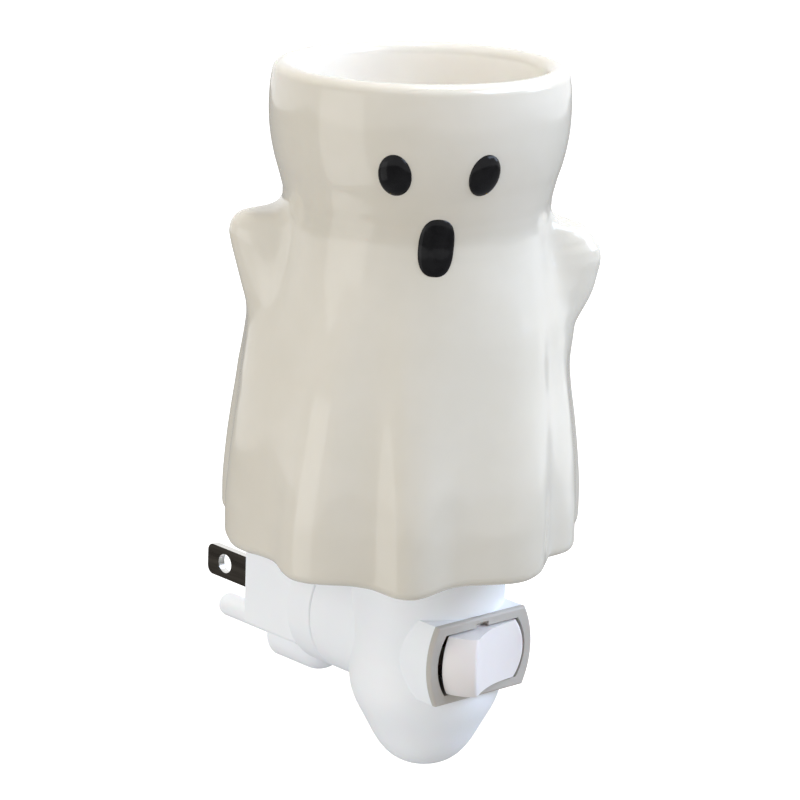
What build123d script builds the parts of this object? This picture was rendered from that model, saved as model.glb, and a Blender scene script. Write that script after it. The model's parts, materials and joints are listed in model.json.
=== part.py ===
"""Plug-in wax melt warmer: a ghost shade with a wax dish, on a night-light base with a swivel plug.

Millimetres. The origin is the middle of the plug's wall face, on the line of the two blades.
+Y goes into the wall, -Y is the switch side, +Z is up.
"""
import os
from math import cos, pi, radians, sin, tan

from build123d import *

os.makedirs("parts", exist_ok=True)

# Clearances
SHAFT_PLAY = 0.06
PASS_GAP = 0.3
SEAT_GAP = 0.1

# Outlet fit: two flat blades and a round pin
BLADE_SPACING = 12.7
BLADE_WIDTH = 6.35
BLADE_THICKNESS = 1.5
BLADE_LENGTH = 17.3
BLADE_TIP_ROUND = 1.6
BLADE_HOLE_DIAMETER = 3.96
BLADE_HOLE_REACH = 11.9
BLADE_LEG_WIDTH = 5.0
PIN_DIAMETER = 4.76
PIN_DROP = 11.9
PIN_LENGTH = 20.4
PIN_END_ROUND = 2.0
PIN_BOSS_RADIUS = 5.6
PIN_BOSS_REACH = 9.5

# Plug block, swivel disc and stem
PLUG_WIDTH = 23.2
PLUG_TOP = 10.2
PLUG_DROP = 8.6
PLUG_DEPTH = 15.6
PLUG_CORNER = 1.0
DISC_RADIUS = 13.9
DISC_DEPTH = 6.7
DISC_EDGE_ROUND = 0.6
STEM_RADIUS = 11.0
STEM_THREAD_RADIUS = 10.2
STEM_BORE_RADIUS = 7.9
REAR_WALL = 5.0
NUT_RADIUS = 12.0
NUT_DEPTH = 2.3
CARRIER_DEPTH = 9.5
STRIP_THICKNESS = 0.8
SLIP_PLATE_DEPTH = 2.0
SLIP_DEPTH = 1.0
SLIP_BUTTON_RADIUS = 2.2
SLIP_RING_INNER = 5.2
SLIP_RING_OUTER = 7.5

# Base housing
AXIS_REACH = 41.4
HOUSING_RADIUS = 14.9
HOUSING_WALL = 1.9
HOUSING_TOP = 22.0
DOME_TOP = -8.8
DOME_HEIGHT = 18.7
DOME_WAIST = 0.785
NECK_RADIUS = 13.9
NECK_WEB = 2.4
NUT_POCKET_RADIUS = 12.4

# Switch bezel and rocker
BEZEL_REACH = 15.8
BEZEL_FLANGE = 1.2
BEZEL_EDGE_ROUND = 0.5
BEZEL_RIM = 1.9
BEZEL_SKIRT_INSET = 0.95
BEZEL_TOP = 6.5
BEZEL_BOTTOM = -9.5
BEZEL_MIDDLE_HALF = 13.2
BEZEL_CORNER_HALF = 11.2
BEZEL_NOTCH_WIDTH = 3.2
BEZEL_NOTCH_HEIGHT = 0.9
BEZEL_SKIRT_DEPTH = 7.6
SWITCH_BODY_DEPTH = 5.5
SWITCH_BODY_BACK = 1.5
SWITCH_BODY_WALL = 1.25
ROCKER_PIVOT_DEPTH = 2.5
ROCKER_TURN = 18.0
ROCKER_FACE_ANGLE = 56.0
ROCKER_DISH = 2.0
ROCKER_BACK = 0.4
ROCKER_RIDGE_ROUND = 0.7
TRUNNION_RADIUS = 1.2
PLUNGER_RADIUS = 1.5
PLUNGER_LENGTH = 6.6
PLUNGER_REACH = 4.8
PLUNGER_TIP = 2.4
PLUNGER_HOLE_DEPTH = 2.9
SPRING_RADIUS = 1.0
SPRING_WIRE = 0.3
CONTACT_ARM_HALF = 6.2
CONTACT_ARM_WIDTH = 4.0
CONTACT_ARM_THICKNESS = 0.6
CONTACT_ARM_TURN = 7.0
KNIFE_HEIGHT = 2.3
KNIFE_ROUND = 0.25
LOAD_CONTACT_PLACE = 5.2

# Contact strips in the base
LEAF_WIDTH = 3.0
LEAF_THICKNESS = 0.6
CONTACT_BLOCK_REAR = 30.5
CONTACT_BLOCK_FRONT = 37.0
CONTACT_BLOCK_TOP = 7.6
CONTACT_BLOCK_BOTTOM = -4.0

# Lamp holder and seat for the shade
HOLDER_BOTTOM = 8.0
HOLDER_FLOOR = 2.5
HOLDER_FLANGE = 1.5
SHELL_INNER_RADIUS = 6.2
SHELL_WALL = 0.5
SHELL_HEIGHT = 12.0
CENTRE_CONTACT_RADIUS = 1.4
CENTRE_CONTACT_HEAD = 2.5
CENTRE_CONTACT_HEAD_HEIGHT = 0.7
SEAT_RADIUS = 21.0
SEAT_THICKNESS = 2.5
SEAT_HOLE_RADIUS = 7.6
SEAT_SCREW_PLACE = 10.0
SCREW_RADIUS = 1.0
SCREW_HEAD_RADIUS = 1.9
SCREW_HEAD_HEIGHT = 1.1
SCREW_LENGTH = 9.0
CUSHION_INNER_RADIUS = 17.0
CUSHION_OUTER_RADIUS = 20.5
CUSHION_THICKNESS = 1.2

# Night-light bulb with a small screw cap
CAP_RADIUS = 5.9
CAP_WALL = 0.4
CAP_HEIGHT = 13.5
EYELET_RADIUS = 2.0
EYELET_HEIGHT = 0.7
CAP_INSULATOR_HEIGHT = 1.7
BULB_RADIUS = 11.0
BULB_LENGTH = 54.0
BELLY_RISE = 13.0
GLASS_WALL = 0.8
GLASS_NECK_LENGTH = 6.0
FILAMENT_WIRE = 0.5
FILAMENT_HALF = 3.4
FILAMENT_RISE = 24.0
FILAMENT_BEND = 2.7

# Ghost shade
SHADE_X = -3.85
SHADE_Y = -38.36
SHADE_TURN = -33.4
SHADE_WALL = 4.0
HEM_HEIGHT = 17.2
HEM_RADIUS = 33.9
HEM_SADDLE = 3.3
SKIRT_LEAN = 1.1
LEAN_TOP = 66.0
LEAN_BOTTOM = 50.0
NECK_HEIGHT = 83.0
SHADE_NECK_RADIUS = 24.7
HEAD_HEIGHT = 102.5
HEAD_RADIUS = 28.5
RIM_HEIGHT = 112.2
RIM_TILT = 3.0
RIM_WALL = 4.8
RIM_ROUND = 2.2
SKIRT_CURVE = 1.5
HEAD_CURVE = 0.8
FOLD_TOP = 77.0
FOLD_BOTTOM = 30.0
FOLD_DRIFT_TOP = 60.0
FOLD_STEPS = 90
SKIRT_SECTIONS = 6
HEAD_SECTIONS = 5
HEM_TRIM = 4.0
ARCH_RADIUS = 7.0
ARCH_RISE = 1.0
FLOOR_THICKNESS = 3.8
FLOOR_HOLE_RADIUS = 16.0
DISH_DEPTH = 30.9
DISH_FLOOR_RADIUS = 13.0
DISH_WALL = 4.0
ARM_REACH = 35.7
ARM_ROOT = 18.0
ARM_RISE = 82.2
ARM_TIP_TALL = 6.5
ARM_SLOPE_TALL = 14.5
ARM_DRAPE_TALL = 14.0
ARM_DRAPE_INSET = 3.9
ARM_TIP_WIDTH = 6.0
ARM_ROOT_WIDTH = 26.0
ARM_ROUND = 4.0
ARM_TILT = 1.4
LEFT_ARM_ANGLE = -94.0
RIGHT_ARM_ANGLE = 90.0
# Crests and hollows of the cloth: angle at the hem, angle higher up, rise from the mean
FOLDS = (
    (-104, -104, 0.9),
    (-94, -94, -0.7),
    (-83, -80, 0.8),
    (-59, -54, -1.0),
    (-43, -37, 1.2),
    (-20, -22, -1.0),
    (-7, -9, 1.3),
    (9, 18, -1.1),
    (38, 45, 1.2),
    (50, 58, -1.0),
    (62, 70, 0.8),
    (75, 81, -0.5),
    (90, 94, 0.7),
    (106, 107, -0.8),
    (121, 121, 0.9),
    (136, 136, -0.9),
    (151, 151, 0.9),
    (166, 166, -0.9),
    (181, 181, 0.9),
    (196, 196, -0.9),
    (211, 211, 0.9),
    (226, 226, -0.9),
)
HOLLOW_STEPS = 8
HOLLOW_ROOF = 5.0
FACE_SUNK = 1.5
FACE_PROUD = 0.9
FACE_ROUND = 0.8
EYE_ANGLE = 17.5
EYE_DROP = 15.6
EYE_WIDTH = 6.45
EYE_TALL = 8.3
EYE_LEAN = 5.0
MOUTH_DROP = 29.6
MOUTH_WIDTH = 6.9
MOUTH_TALL = 11.0

# Places worked out from the sizes above
blade_place = BLADE_SPACING / 2
disc_front = PLUG_DEPTH + DISC_DEPTH
neck_rear = disc_front + PASS_GAP
web_front = neck_rear + NECK_WEB
nut_rear = web_front + PASS_GAP
stem_front = nut_rear + NUT_DEPTH + SEAT_GAP
carrier_front = REAR_WALL + CARRIER_DEPTH
slip_plate_rear = carrier_front + STRIP_THICKNESS
slip_plate_front = slip_plate_rear + SLIP_PLATE_DEPTH
slip_front = slip_plate_front + SLIP_DEPTH
leaf_rear = slip_front + PASS_GAP

bezel_front = AXIS_REACH + BEZEL_REACH
flange_back = bezel_front - BEZEL_FLANGE
skirt_back = flange_back - BEZEL_SKIRT_DEPTH
switch_back = skirt_back - SWITCH_BODY_DEPTH
tab_end = switch_back - LEAF_THICKNESS * 2
bezel_middle = (BEZEL_TOP + BEZEL_BOTTOM) / 2
window_half = BEZEL_MIDDLE_HALF - BEZEL_RIM
window_top = BEZEL_TOP - BEZEL_RIM
window_bottom = BEZEL_BOTTOM + BEZEL_RIM
pivot_reach = bezel_front - ROCKER_PIVOT_DEPTH
rocker_top = window_top - PASS_GAP
rocker_bottom = window_bottom + PASS_GAP
rocker_radius = window_half - PASS_GAP
bow = BEZEL_MIDDLE_HALF - BEZEL_CORNER_HALF
rocker_end_radius = rocker_radius - bow
arm_reach = switch_back + SWITCH_BODY_BACK + KNIFE_HEIGHT

cavity_radius = HOUSING_RADIUS - HOUSING_WALL
holder_radius = cavity_radius - PASS_GAP
shell_outer_radius = SHELL_INNER_RADIUS + SHELL_WALL
holder_bore = shell_outer_radius + SHAFT_PLAY
shell_bottom = HOLDER_BOTTOM + HOLDER_FLOOR + CENTRE_CONTACT_HEAD_HEIGHT
seat_bottom = HOUSING_TOP + HOLDER_FLANGE
seat_top = seat_bottom + SEAT_THICKNESS
cushion_top = seat_top + CUSHION_THICKNESS
floor_top = cushion_top + FLOOR_THICKNESS
eyelet_bottom = shell_bottom + PASS_GAP
insulator_bottom = eyelet_bottom + EYELET_HEIGHT
cap_bottom = insulator_bottom + CAP_INSULATOR_HEIGHT
cap_top = cap_bottom + CAP_HEIGHT
bulb_top = eyelet_bottom + BULB_LENGTH
glass_neck_radius = CAP_RADIUS - CAP_WALL - SEAT_GAP / 2
stem_bottom = cap_top - GLASS_NECK_LENGTH
rim_top = RIM_HEIGHT + HEAD_RADIUS * tan(radians(RIM_TILT))
dish_floor = RIM_HEIGHT - DISH_DEPTH
rim_inner_radius = HEAD_RADIUS - RIM_WALL
hollow_top = dish_floor - DISH_WALL - HOLLOW_ROOF
eye_height = RIM_HEIGHT - EYE_DROP
mouth_height = RIM_HEIGHT - MOUTH_DROP
skirt_step = (NECK_HEIGHT - HEM_HEIGHT) / SKIRT_SECTIONS
head_step = (rim_top - NECK_HEIGHT) / HEAD_SECTIONS
deepest_hollow = -min(rise for low, high, rise in FOLDS)
section_heights = [HEM_HEIGHT - HEM_TRIM]
section_heights += [HEM_HEIGHT + skirt_step * step for step in range(SKIRT_SECTIONS)]
section_heights += [NECK_HEIGHT + head_step * step for step in range(HEAD_SECTIONS + 1)]
neutral_place = shell_outer_radius - SHELL_WALL / 2
switched_height = HOLDER_BOTTOM - LEAF_THICKNESS
housing_axis = Axis((0, -AXIS_REACH, 0), (0, 0, 1))
shade_axis = Axis((SHADE_X, SHADE_Y, 0), (0, 0, 1))


def wall_plane(reach):
    """Upright plane this far out from the wall, facing away from it."""
    return Plane.XZ.offset(reach)


def base_plane(height):
    """Level plane centred on the upright axis of the housing."""
    return Plane(origin=(0, -AXIS_REACH, height))


def turned(angle):
    """Unit vectors to the right and to the front of a piece turned about the upright axis."""
    right = (cos(radians(angle)), sin(radians(angle)), 0)
    front = (sin(radians(angle)), -cos(radians(angle)), 0)
    return right, front


def shade_plane(height):
    """Level plane centred on the ghost's own axis, turned with it."""
    right, front = turned(SHADE_TURN)
    return Plane(origin=(SHADE_X, SHADE_Y, height), x_dir=right, z_dir=(0, 0, 1))


def shade_section_plane():
    """Upright plane through the ghost's axis, facing its front."""
    right, front = turned(SHADE_TURN)
    return Plane(origin=(SHADE_X, SHADE_Y, 0), x_dir=right, z_dir=front)


def bezel_outline(inset):
    """Closed outline with straight top and bottom and bowed sides, drawn in from the rim by inset."""
    corner = BEZEL_CORNER_HALF - inset
    middle = BEZEL_MIDDLE_HALF - inset
    top = BEZEL_TOP - inset
    bottom = BEZEL_BOTTOM + inset
    with BuildSketch() as outline:
        with BuildLine():
            Line((-corner, top), (corner, top))
            ThreePointArc((corner, top), (middle, bezel_middle), (corner, bottom))
            Line((corner, bottom), (-corner, bottom))
            ThreePointArc((-corner, bottom), (-middle, bezel_middle), (-corner, top))
        make_face()
    return outline.sketch


def bullet_profile(radius, drop):
    """Half section of the upright bullet from its open top down to its blunt point."""
    with BuildSketch() as profile:
        with BuildLine():
            Line((0, HOUSING_TOP), (radius, HOUSING_TOP))
            Line((radius, HOUSING_TOP), (radius, DOME_TOP))
            Spline(
                (radius, DOME_TOP),
                (radius * DOME_WAIST, DOME_TOP - drop / 2),
                (0, DOME_TOP - drop),
                tangents=[(0, -1), (-1, 0)],
            )
            Line((0, DOME_TOP - drop), (0, HOUSING_TOP))
        make_face()
    return profile.sketch


def shade_radius(height):
    """Mean outer radius of the ghost at a height."""
    if height < NECK_HEIGHT:
        share = max((height - HEM_HEIGHT) / (NECK_HEIGHT - HEM_HEIGHT), 0)
        swell = (1 + cos(pi * share**SKIRT_CURVE)) / 2
        return SHADE_NECK_RADIUS + (HEM_RADIUS - SHADE_NECK_RADIUS) * swell
    share = min((height - NECK_HEIGHT) / (HEAD_HEIGHT - NECK_HEIGHT), 1)
    swell = (1 - cos(pi * share**HEAD_CURVE)) / 2
    return SHADE_NECK_RADIUS + (HEAD_RADIUS - SHADE_NECK_RADIUS) * swell


def cloth_wave(knots, angle):
    """Wave eased between (degrees, rise) crests and hollows, at an angle."""
    first = knots[0][0]
    turn = (angle - first) % 360 + first
    closed = [*knots, (first + 360, knots[0][1])]
    for (start, low), (end, high) in zip(closed, closed[1:]):
        if start <= turn <= end:
            return low + (high - low) * (1 - cos(pi * (turn - start) / (end - start))) / 2
    return knots[0][1]


def fold_rise(angle, height):
    """How far the cloth stands out from the mean at an angle and a height."""
    drift = min(max((height - FOLD_BOTTOM) / (FOLD_DRIFT_TOP - FOLD_BOTTOM), 0), 1)
    hem_wave = cloth_wave([(low, rise) for low, high, rise in FOLDS], angle)
    upper_wave = cloth_wave([(high, rise) for low, high, rise in FOLDS], angle)
    fade = min(max((FOLD_TOP - height) / (FOLD_TOP - FOLD_BOTTOM), 0), 1)
    return (hem_wave * (1 - drift) + upper_wave * drift) * fade


def skirt_lean(height):
    """How far the skirt hangs to the left at a height."""
    return SKIRT_LEAN * min(max((LEAN_TOP - height) / (LEAN_TOP - LEAN_BOTTOM), 0), 1)


def shade_outline(height):
    """Closed wavy outline of the ghost at a height."""
    points = []
    for step in range(FOLD_STEPS):
        angle = 360 * step / FOLD_STEPS
        lean = skirt_lean(height) * sin(radians(angle))
        radius = shade_radius(height) + fold_rise(angle, height) - lean
        points.append((radius * sin(radians(angle)), -radius * cos(radians(angle))))
    with BuildSketch() as outline:
        with BuildLine():
            Spline(*points, periodic=True)
        make_face()
    return outline.sketch


def hollow_radius(height):
    """Inner radius of the ghost's wall at a height."""
    fade = min(max((FOLD_TOP - height) / (FOLD_TOP - FOLD_BOTTOM), 0), 1)
    return shade_radius(height) - deepest_hollow * fade - SHADE_WALL


def finish(builder, label):
    """Label a finished piece and write it."""
    builder.part.label = label
    export_step(builder.part, f"parts/{label}.step")


# Plug body: block with the round pin on its boss, swivel disc and hollow stem
with BuildPart() as plug_body:
    with BuildSketch(wall_plane(0)):
        with Locations((0, (PLUG_TOP - PLUG_DROP) / 2)):
            RectangleRounded(PLUG_WIDTH, PLUG_TOP + PLUG_DROP, PLUG_CORNER)
    extrude(amount=PLUG_DEPTH)
    with BuildSketch(wall_plane(0)):
        with Locations((0, -PIN_DROP)):
            Circle(PIN_BOSS_RADIUS)
    extrude(amount=PIN_BOSS_REACH)
    with Locations((0, -PIN_BOSS_REACH, -PIN_DROP)):
        Sphere(PIN_BOSS_RADIUS)
    with BuildSketch(wall_plane(PLUG_DEPTH)):
        Circle(DISC_RADIUS)
    extrude(amount=DISC_DEPTH)
    disc_edges = plug_body.edges().filter_by(GeomType.CIRCLE).filter_by(lambda edge: edge.radius == DISC_RADIUS)
    fillet(disc_edges.sort_by(Axis.Y)[0], DISC_EDGE_ROUND)
    with BuildSketch(wall_plane(disc_front)):
        Circle(STEM_RADIUS)
    extrude(amount=nut_rear - disc_front)
    with BuildSketch(wall_plane(nut_rear)):
        Circle(STEM_THREAD_RADIUS)
    extrude(amount=stem_front - nut_rear)
    with BuildSketch(wall_plane(REAR_WALL)):
        Circle(STEM_BORE_RADIUS)
    extrude(amount=stem_front - REAR_WALL, mode=Mode.SUBTRACT)
    with BuildSketch(wall_plane(0)):
        with Locations((-blade_place, 0), (blade_place, 0)):
            Rectangle(BLADE_THICKNESS + SEAT_GAP, BLADE_WIDTH + SEAT_GAP)
    extrude(amount=REAR_WALL, mode=Mode.SUBTRACT)
    with BuildSketch(wall_plane(0)):
        with Locations((0, -PIN_DROP)):
            Circle(PIN_DIAMETER / 2)
    extrude(amount=-PIN_LENGTH)
    pin_end = plug_body.edges().filter_by(GeomType.CIRCLE).sort_by(Axis.Y)[-1]
    fillet(pin_end, PIN_END_ROUND)
finish(plug_body, "plug_body")


def blade_outline(leg_end):
    """Flat blade with its hole and the leg that runs into the plug."""
    with BuildSketch() as outline:
        with BuildLine():
            Polyline(
                (-REAR_WALL, -BLADE_WIDTH / 2),
                (BLADE_LENGTH, -BLADE_WIDTH / 2),
                (BLADE_LENGTH, BLADE_WIDTH / 2),
                (-REAR_WALL, BLADE_WIDTH / 2),
                (-REAR_WALL, BLADE_LEG_WIDTH / 2),
                (-leg_end, BLADE_LEG_WIDTH / 2),
                (-leg_end, -BLADE_LEG_WIDTH / 2),
                (-REAR_WALL, -BLADE_LEG_WIDTH / 2),
                close=True,
            )
        make_face()
        fillet(outline.vertices().group_by(Axis.X)[-1], BLADE_TIP_ROUND)
        with Locations((BLADE_HOLE_REACH, 0)):
            Circle(BLADE_HOLE_DIAMETER / 2, mode=Mode.SUBTRACT)
    return outline.sketch


# Live blade: its foot crosses to the middle behind the slip plate
with BuildPart() as live_blade:
    with BuildSketch(Plane.YZ.offset(-blade_place - BLADE_THICKNESS / 2)):
        add(blade_outline(carrier_front))
    extrude(amount=BLADE_THICKNESS)
    foot_left = -blade_place - BLADE_THICKNESS / 2
    with BuildSketch(wall_plane(carrier_front)):
        with Locations(((foot_left + SLIP_BUTTON_RADIUS) / 2, 0)):
            Rectangle(SLIP_BUTTON_RADIUS - foot_left, BLADE_LEG_WIDTH)
    extrude(amount=STRIP_THICKNESS)
finish(live_blade, "live_blade")

# Neutral blade: its leg reaches the slip ring
with BuildPart() as neutral_blade:
    with BuildSketch(Plane.YZ.offset(blade_place - BLADE_THICKNESS / 2)):
        add(blade_outline(slip_plate_front))
    extrude(amount=BLADE_THICKNESS)
finish(neutral_blade, "neutral_blade")

# Blade carrier: insulator that holds both legs in the hollow of the plug
with BuildPart() as blade_carrier:
    with BuildSketch(wall_plane(REAR_WALL)):
        Circle(STEM_BORE_RADIUS - SEAT_GAP)
        with Locations((-blade_place, 0), (blade_place, 0)):
            Rectangle(BLADE_THICKNESS + SEAT_GAP, BLADE_LEG_WIDTH + SEAT_GAP, mode=Mode.SUBTRACT)
    extrude(amount=CARRIER_DEPTH)
finish(blade_carrier, "blade_carrier")

# Slip plate: front insulator, with the button in its middle and a slot for the neutral leg
with BuildPart() as slip_plate:
    with BuildSketch(wall_plane(slip_plate_rear)):
        Circle(STEM_BORE_RADIUS - SEAT_GAP)
        Circle(SLIP_BUTTON_RADIUS + SEAT_GAP, mode=Mode.SUBTRACT)
        with Locations((blade_place, 0)):
            Rectangle(BLADE_THICKNESS + SEAT_GAP, BLADE_LEG_WIDTH + SEAT_GAP, mode=Mode.SUBTRACT)
    extrude(amount=SLIP_PLATE_DEPTH)
finish(slip_plate, "slip_plate")

# Slip button: live contact on the swivel axis
with BuildPart() as slip_button:
    with BuildSketch(wall_plane(slip_plate_rear)):
        Circle(SLIP_BUTTON_RADIUS)
    extrude(amount=slip_front - slip_plate_rear)
finish(slip_button, "slip_button")

# Slip ring: neutral contact round the swivel axis
with BuildPart() as slip_ring:
    with BuildSketch(wall_plane(slip_plate_front)):
        Circle(SLIP_RING_OUTER)
        Circle(SLIP_RING_INNER, mode=Mode.SUBTRACT)
    extrude(amount=SLIP_DEPTH)
finish(slip_ring, "slip_ring")

# Stem nut: holds the plug in the neck
with BuildPart() as stem_nut:
    with BuildSketch(wall_plane(nut_rear)):
        Circle(NUT_RADIUS)
        Circle(STEM_THREAD_RADIUS + SHAFT_PLAY, mode=Mode.SUBTRACT)
    extrude(amount=NUT_DEPTH)
    chamfer(stem_nut.faces().sort_by(Axis.Y)[0].outer_wire().edges(), NUT_DEPTH / 6)
finish(stem_nut, "stem_nut")

# Housing: upright bullet, swivel neck and switch boss in one moulding, open at the top
with BuildPart() as housing:
    with BuildSketch(wall_plane(AXIS_REACH)):
        add(bullet_profile(HOUSING_RADIUS, DOME_HEIGHT))
    revolve(axis=housing_axis)
    with BuildSketch(wall_plane(neck_rear)):
        Circle(NECK_RADIUS)
    extrude(amount=AXIS_REACH - neck_rear)
    with BuildSketch(wall_plane(AXIS_REACH)):
        add(bezel_outline(0))
    extrude(amount=flange_back - AXIS_REACH)
    with BuildSketch(wall_plane(AXIS_REACH)):
        add(bullet_profile(cavity_radius, DOME_HEIGHT - HOUSING_WALL))
    revolve(axis=housing_axis, mode=Mode.SUBTRACT)
    with BuildSketch(wall_plane(neck_rear)):
        Circle(STEM_RADIUS + SHAFT_PLAY)
    extrude(amount=NECK_WEB, mode=Mode.SUBTRACT)
    with BuildSketch(wall_plane(web_front)):
        Circle(NUT_POCKET_RADIUS)
    extrude(amount=AXIS_REACH - web_front, mode=Mode.SUBTRACT)
    with BuildSketch(wall_plane(switch_back)):
        add(bezel_outline(BEZEL_SKIRT_INSET - SEAT_GAP))
    extrude(amount=flange_back - switch_back, mode=Mode.SUBTRACT)
    with BuildSketch(wall_plane(flange_back)):
        add(bezel_outline(-SEAT_GAP))
    extrude(amount=BEZEL_FLANGE, mode=Mode.SUBTRACT)
finish(housing, "housing")

# Switch bezel: front rim with its notch, and the skirt that carries the rocker
with BuildPart() as switch_bezel:
    with BuildSketch(wall_plane(skirt_back)):
        add(bezel_outline(BEZEL_SKIRT_INSET))
    extrude(amount=flange_back - skirt_back)
    with BuildSketch(wall_plane(flange_back)):
        add(bezel_outline(0))
    extrude(amount=BEZEL_FLANGE)
    with BuildSketch(wall_plane(skirt_back)):
        add(bezel_outline(BEZEL_RIM))
    extrude(amount=bezel_front - skirt_back, mode=Mode.SUBTRACT)
    with BuildSketch(wall_plane(flange_back)):
        with Locations((0, window_top)):
            Rectangle(BEZEL_NOTCH_WIDTH, BEZEL_NOTCH_HEIGHT * 2)
    extrude(amount=BEZEL_FLANGE, mode=Mode.SUBTRACT)
    with BuildSketch(Plane(origin=(0, -pivot_reach, BEZEL_BOTTOM + BEZEL_SKIRT_INSET))):
        Circle(TRUNNION_RADIUS + SHAFT_PLAY)
    extrude(amount=BEZEL_TOP - BEZEL_BOTTOM - BEZEL_SKIRT_INSET * 2, mode=Mode.SUBTRACT)
    fillet(switch_bezel.faces().sort_by(Axis.Y)[0].outer_wire().edges(), BEZEL_EDGE_ROUND)
finish(switch_bezel, "switch_bezel")

# Switch body: insulating tray behind the skirt
with BuildPart() as switch_body:
    with BuildSketch(wall_plane(switch_back)):
        add(bezel_outline(BEZEL_SKIRT_INSET))
    extrude(amount=SWITCH_BODY_DEPTH)
    with BuildSketch(wall_plane(switch_back + SWITCH_BODY_BACK)):
        add(bezel_outline(BEZEL_SKIRT_INSET + SWITCH_BODY_WALL))
    extrude(amount=SWITCH_BODY_DEPTH - SWITCH_BODY_BACK, mode=Mode.SUBTRACT)
    with BuildSketch(wall_plane(switch_back)):
        with Locations((0, 0), (LOAD_CONTACT_PLACE, 0)):
            Rectangle(LEAF_WIDTH, LEAF_THICKNESS)
    extrude(amount=SWITCH_BODY_BACK, mode=Mode.SUBTRACT)
finish(switch_body, "switch_body")

# Common terminal: tab through the back of the switch and the round-nosed knife for the contact arm
with BuildPart() as common_terminal:
    with BuildSketch(wall_plane(tab_end)):
        Rectangle(LEAF_WIDTH, LEAF_THICKNESS)
    extrude(amount=switch_back + SWITCH_BODY_BACK - tab_end)
    with BuildSketch(Plane.XY.offset(-CONTACT_ARM_WIDTH / 2)):
        with BuildLine():
            Polyline(
                (-LEAF_WIDTH / 2, -switch_back - SWITCH_BODY_BACK),
                (LEAF_WIDTH / 2, -switch_back - SWITCH_BODY_BACK),
                (LEAF_WIDTH / 2, -switch_back - SWITCH_BODY_BACK - LEAF_THICKNESS),
                (0, -arm_reach),
                (-LEAF_WIDTH / 2, -switch_back - SWITCH_BODY_BACK - LEAF_THICKNESS),
                close=True,
            )
        make_face()
        with Locations((0, -arm_reach)):
            Circle(KNIFE_ROUND)
    extrude(amount=CONTACT_ARM_WIDTH)
finish(common_terminal, "common_terminal")

# Load terminal: tab and fixed contact
with BuildPart() as load_terminal:
    with BuildSketch(wall_plane(tab_end)):
        with Locations((LOAD_CONTACT_PLACE, 0)):
            Rectangle(LEAF_WIDTH, LEAF_THICKNESS)
    extrude(amount=switch_back + SWITCH_BODY_BACK - tab_end)
    with BuildSketch(wall_plane(switch_back + SWITCH_BODY_BACK)):
        with Locations((LOAD_CONTACT_PLACE, 0)):
            Circle(LEAF_WIDTH / 2)
    extrude(amount=LEAF_THICKNESS)
finish(load_terminal, "load_terminal")

# Contact arm: rocks on the knife's nose in a groove, shown in the off place
with BuildPart() as contact_arm:
    right, front = turned(-CONTACT_ARM_TURN)
    with BuildSketch(Plane(origin=(0, -arm_reach, 0), x_dir=right, z_dir=front)):
        Rectangle(CONTACT_ARM_HALF * 2, CONTACT_ARM_WIDTH)
    extrude(amount=CONTACT_ARM_THICKNESS)
    with BuildSketch(Plane.XY.offset(-CONTACT_ARM_WIDTH / 2)):
        with Locations((0, -arm_reach)):
            Circle(KNIFE_ROUND + SHAFT_PLAY)
    extrude(amount=CONTACT_ARM_WIDTH, mode=Mode.SUBTRACT)
finish(contact_arm, "contact_arm")

# Rocker: dished face between two ends that are round about the pivot, on two trunnions
with BuildPart() as rocker:
    face_half = rocker_radius * sin(radians(ROCKER_FACE_ANGLE))
    face_edge = rocker_radius * cos(radians(ROCKER_FACE_ANGLE))
    right, front = turned(ROCKER_TURN)
    rocker_plane = Plane(origin=(0, -pivot_reach, rocker_bottom), x_dir=right, z_dir=(0, 0, 1))
    with BuildSketch(rocker_plane):
        with BuildLine():
            ThreePointArc((-face_half, -face_edge), (0, ROCKER_DISH - face_edge), (face_half, -face_edge))
            Polyline(
                (face_half, -face_edge),
                (rocker_radius, -face_edge),
                (rocker_radius, ROCKER_BACK),
                (-rocker_radius, ROCKER_BACK),
                (-rocker_radius, -face_edge),
                (-face_half, -face_edge),
            )
        make_face()
    extrude(amount=rocker_top - rocker_bottom)
    with BuildSketch(wall_plane(pivot_reach)):
        with BuildLine():
            Line((0, rocker_bottom), (rocker_end_radius, rocker_bottom))
            ThreePointArc(
                (rocker_end_radius, rocker_bottom), (rocker_radius, bezel_middle), (rocker_end_radius, rocker_top)
            )
            Polyline((rocker_end_radius, rocker_top), (0, rocker_top), (0, rocker_bottom))
        make_face()
    revolve(axis=Axis((0, -pivot_reach, 0), (0, 0, 1)), mode=Mode.INTERSECT)
    ridges = [
        edge
        for edge in rocker.edges().filter_by(GeomType.BSPLINE)
        if rocker_plane.to_local_coords(edge.center()).Y < -face_edge / 2
    ]
    fillet(ridges, ROCKER_RIDGE_ROUND)
    trunnion_end = BEZEL_TOP - BEZEL_SKIRT_INSET - SEAT_GAP
    trunnion_start = BEZEL_BOTTOM + BEZEL_SKIRT_INSET + SEAT_GAP
    with BuildSketch(Plane(origin=(0, -pivot_reach, trunnion_start))):
        Circle(TRUNNION_RADIUS)
    extrude(amount=trunnion_end - trunnion_start)
    push_plane = Plane(origin=(0, -pivot_reach, 0), x_dir=right, z_dir=front)
    hole_start = TRUNNION_RADIUS + PASS_GAP
    with BuildSketch(push_plane.offset(-hole_start)):
        Circle(PLUNGER_RADIUS + SHAFT_PLAY)
    extrude(amount=hole_start + PLUNGER_HOLE_DEPTH, mode=Mode.SUBTRACT)
finish(rocker, "rocker")

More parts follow.
